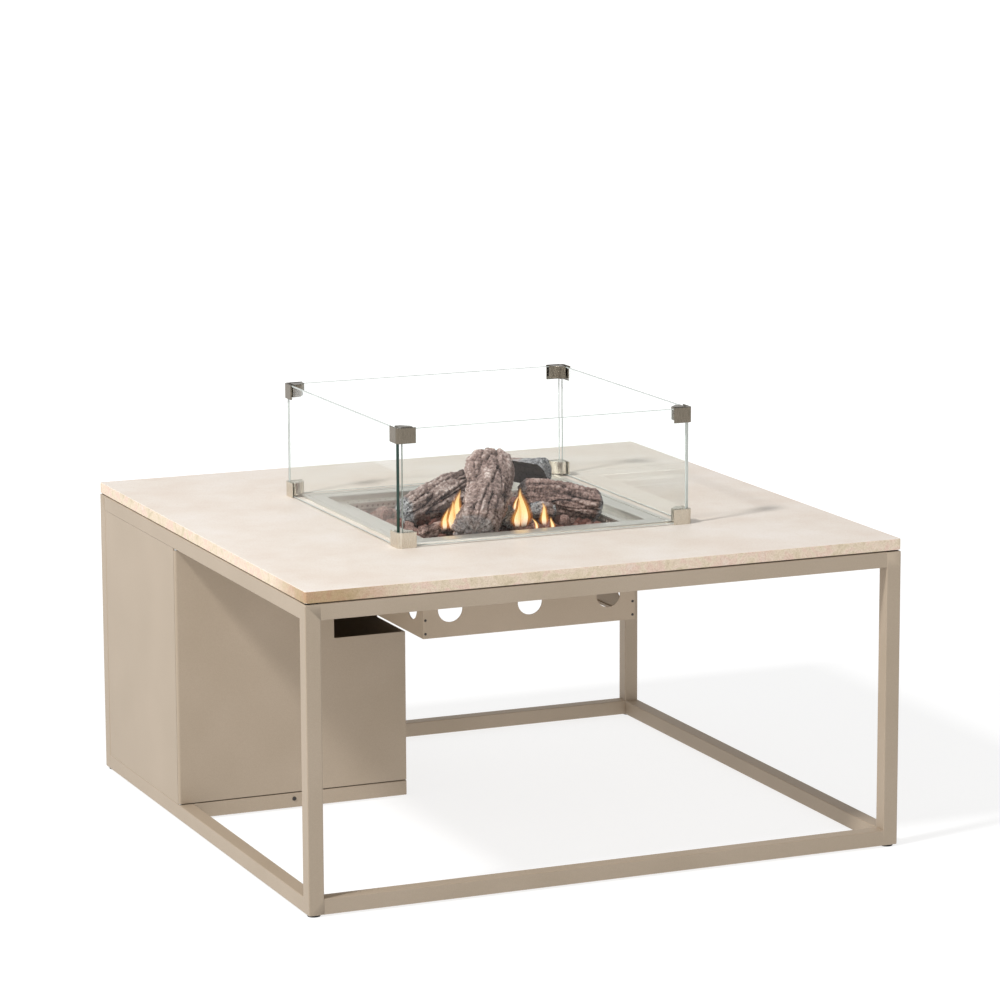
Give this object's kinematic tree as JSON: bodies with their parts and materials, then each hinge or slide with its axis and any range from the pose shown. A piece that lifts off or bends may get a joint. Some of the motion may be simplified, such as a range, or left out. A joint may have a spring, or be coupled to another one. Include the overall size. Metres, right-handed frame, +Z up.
{
  "type": "gas fire table",
  "caption": "Square outdoor gas fire table: stone top on a tube frame, burner well with ceramic logs, glass wind screen on corner clamps, and a gas-bottle cabinet with a hinged door.",
  "frame": {"origin": "on the floor under the middle of the square table", "axes": "+Z up; -Y is the front, with the cabinet door behind it facing -Y; +X is the right side, where the gas knob is; the cabinet is at the back left"},
  "size_m": [1, 1, 0.69],
  "materials": {
    "powder_coat": "fine-textured taupe powder coat, satin",
    "stone_top": "honed cream stone with mottled sandy edges",
    "satin_steel": "brushed stainless, satin",
    "zinc_steel": "zinc-plated, dull",
    "satin_nickel": "satin nickel plate",
    "black_rubber": "matt black",
    "black_plastic": "matt moulded black",
    "red_plastic": "gloss red",
    "brass": "plain machined brass",
    "white_ceramic": "white glaze",
    "lava_stone": "rough porous reddish-brown rock",
    "ceramic_log": "matt cast bark texture, taupe with grey ends",
    "clear_glass": "clear toughened glass with polished green edges"
  },
  "bodies": {
    "table": {"leg_front_left": "powder_coat", "leg_front_right": "powder_coat", "leg_back_left": "powder_coat", "leg_back_right": "powder_coat", "top_rail_front": "powder_coat", "top_rail_back": "powder_coat", "top_rail_left": "powder_coat", "top_rail_right": "powder_coat", "bottom_rail_front": "powder_coat", "bottom_rail_back": "powder_coat", "bottom_rail_left": "powder_coat", "bottom_rail_right": "powder_coat", "cabinet_front_sill": "powder_coat", "cabinet_side_sill": "powder_coat", "cabinet_header": "powder_coat", "corner_glides": "black_rubber", "top_pads": "black_rubber", "tabletop": "stone_top", "cabinet_left_panel": "powder_coat", "cabinet_back_panel": "powder_coat", "cabinet_inner_wall": "powder_coat", "cabinet_floor": "powder_coat", "door_pivot_pins": "zinc_steel", "door_magnet": "black_plastic", "frame_screws": "zinc_steel", "housing_front": "powder_coat", "housing_back": "powder_coat", "housing_left": "powder_coat", "housing_right": "powder_coat", "housing_rivets": "zinc_steel", "burner_rim": "satin_steel", "ember_tray": "satin_steel", "ring_burner": "satin_steel", "supply_pipe": "brass", "gas_valve": "brass", "gas_inlet": "brass", "control_panel": "satin_steel", "igniter_body": "black_plastic", "spark_electrode": "white_ceramic", "thermocouple": "zinc_steel", "lava_rock": "lava_stone", "log_left": "ceramic_log", "log_centre": "ceramic_log", "log_top": "ceramic_log", "log_right": "ceramic_log", "log_stubs": "ceramic_log", "log_branch": "ceramic_log"},
    "door": {"cabinet_door": "powder_coat"},
    "screen": {"glass_front": "clear_glass", "glass_back": "clear_glass", "glass_left": "clear_glass", "glass_right": "clear_glass", "clamps_front_left": "satin_nickel", "clamps_front_right": "satin_nickel", "clamps_back_left": "satin_nickel", "clamps_back_right": "satin_nickel", "clamp_screws": "zinc_steel"},
    "spindle": {"valve_spindle": "zinc_steel"},
    "knob": {"gas_knob": "black_plastic"},
    "button": {"igniter_button": "red_plastic"}
  },
  "joints": [
    {"name": "door_hinge", "type": "hinge", "parent": "table", "child": "door", "pos_m": [-0.496, 0.109, 0.2415], "axis": [0, 0, -1], "range_deg": [0, 100]},
    {"name": "screen_lift", "type": "slide", "parent": "table", "child": "screen", "axis": [0, 0, 1], "range_m": [0, 0.25]},
    {"name": "knob_push", "type": "slide", "parent": "table", "child": "spindle", "axis": [-1, 0, 0], "range_m": [0, 0.004], "stiffness_N_per_m": 1500, "springref_m": -0.002},
    {"name": "knob_turn", "type": "hinge", "parent": "spindle", "child": "knob", "pos_m": [0.2055, -0.032, 0.388], "axis": [1, 0, 0], "range_deg": [0, 180]},
    {"name": "igniter_press", "type": "slide", "parent": "table", "child": "button", "axis": [-1, 0, 0], "range_m": [0, 0.0045], "stiffness_N_per_m": 1500, "springref_m": -0.002}
  ]
}
